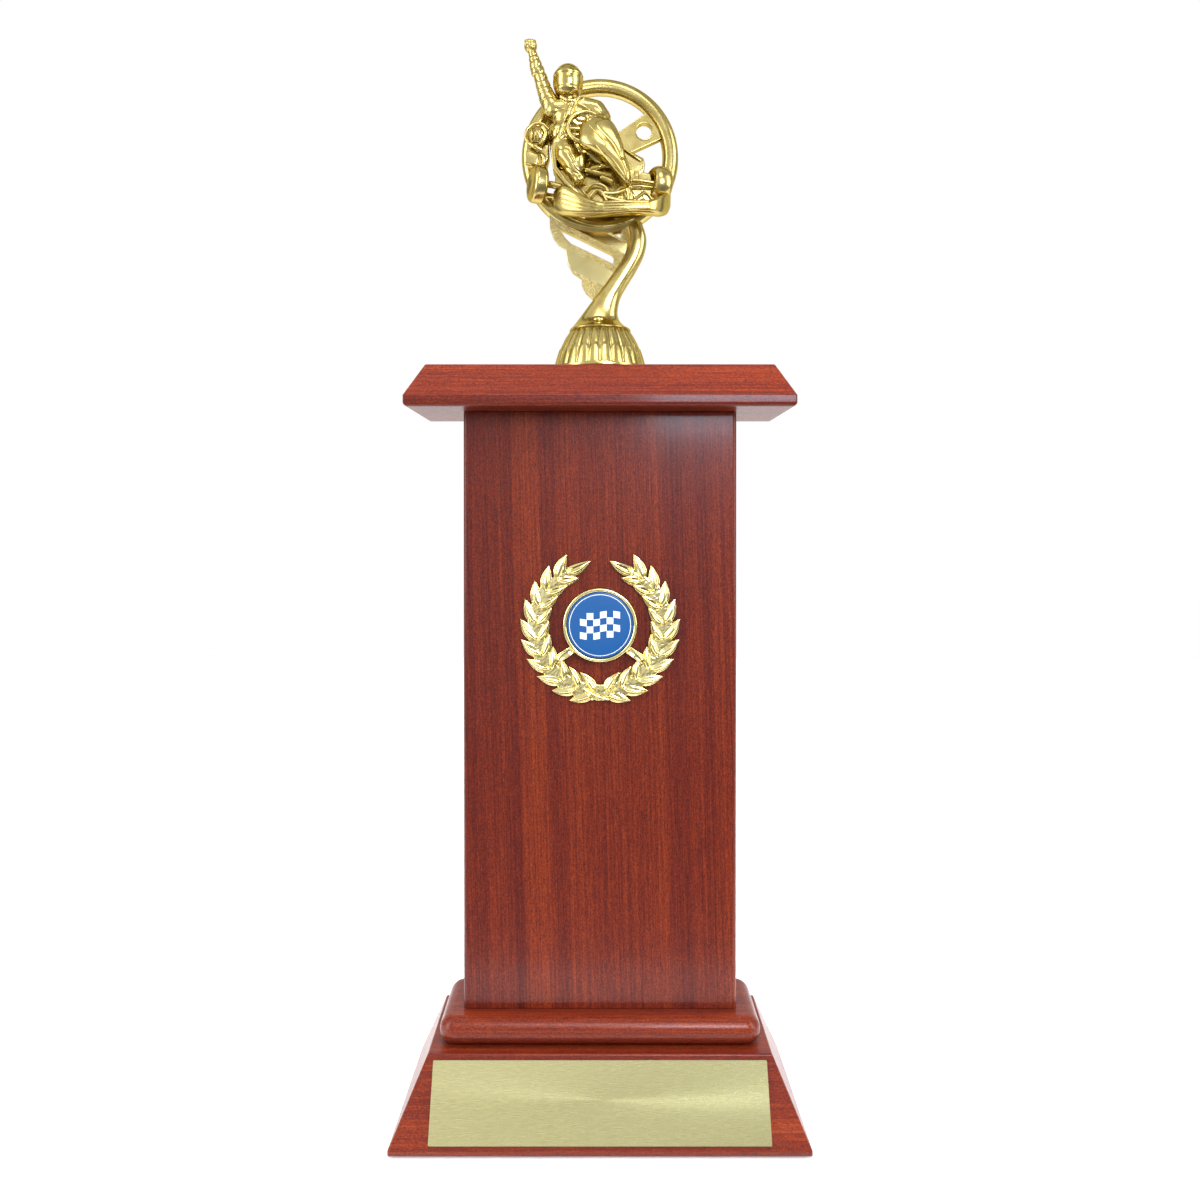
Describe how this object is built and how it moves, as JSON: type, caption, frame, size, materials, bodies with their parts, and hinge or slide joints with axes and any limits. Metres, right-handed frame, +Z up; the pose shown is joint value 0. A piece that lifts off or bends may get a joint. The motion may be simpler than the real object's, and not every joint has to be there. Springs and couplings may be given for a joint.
{
  "type": "column trophy",
  "caption": "Timber column trophy: bevelled plinth with engraving plate, flat column with laurel wreath, bevelled cap and a gold kart-driver figure in a steering-wheel ring.",
  "frame": {"origin": "middle of the underside of the plinth's felt pad", "axes": "+Z up; the front with the engraving plate and wreath faces -Y; +X to the viewer's right"},
  "size_m": [0.1504, 0.0672, 0.409],
  "materials": {
    "mahogany_stained_timber": "semi-gloss lacquer over red-brown stain",
    "metallised_gold_figure": "polished metallised plastic",
    "metallised_gold_wreath": "polished metallised plastic",
    "brushed_gold_plate": "horizontally brushed, pale gold",
    "blue_insert": "gloss print",
    "adhesive_tape": "matt",
    "black_felt": "felt",
    "zinc_steel": "zinc plated",
    "beech_dowel": "raw"
  },
  "bodies": {
    "stand": {"base_pad": "black_felt", "base_screw_left": "zinc_steel", "base_screw_right": "zinc_steel", "bolt_washer": "zinc_steel", "cap_board": "mahogany_stained_timber", "column_board": "mahogany_stained_timber", "engraving_plate": "brushed_gold_plate", "figure_bolt": "zinc_steel", "insert_disc": "blue_insert", "laurel_wreath": "metallised_gold_wreath", "lower_dowel_left": "beech_dowel", "lower_dowel_right": "beech_dowel", "plate_tape": "adhesive_tape", "plinth_block": "mahogany_stained_timber", "tier_board": "mahogany_stained_timber", "upper_dowel_left": "beech_dowel", "upper_dowel_right": "beech_dowel", "wreath_tape": "adhesive_tape"},
    "figure": {"figure_dome": "metallised_gold_figure", "riser_stem": "metallised_gold_figure", "riser_wing": "metallised_gold_figure", "wheel_rim": "metallised_gold_figure", "wheel_spokes": "metallised_gold_figure", "kart_seat": "metallised_gold_figure", "kart_chassis": "metallised_gold_figure", "rear_tyre": "metallised_gold_figure", "front_tyre": "metallised_gold_figure", "front_bumper": "metallised_gold_figure", "front_fairing": "metallised_gold_figure", "kart_engine": "metallised_gold_figure", "driver_body": "metallised_gold_figure", "driver_helmet": "metallised_gold_figure", "driver_legs": "metallised_gold_figure", "driver_raised_arm": "metallised_gold_figure", "kart_steering_wheel": "metallised_gold_figure", "driver_low_arm": "metallised_gold_figure", "captive_nut": "zinc_steel"}
  },
  "joints": [
    {"name": "figure_turn", "type": "hinge", "parent": "stand", "child": "figure", "pos_m": [0, 0, 0.2832], "axis": [0, 0, 1], "continuous": true}
  ]
}
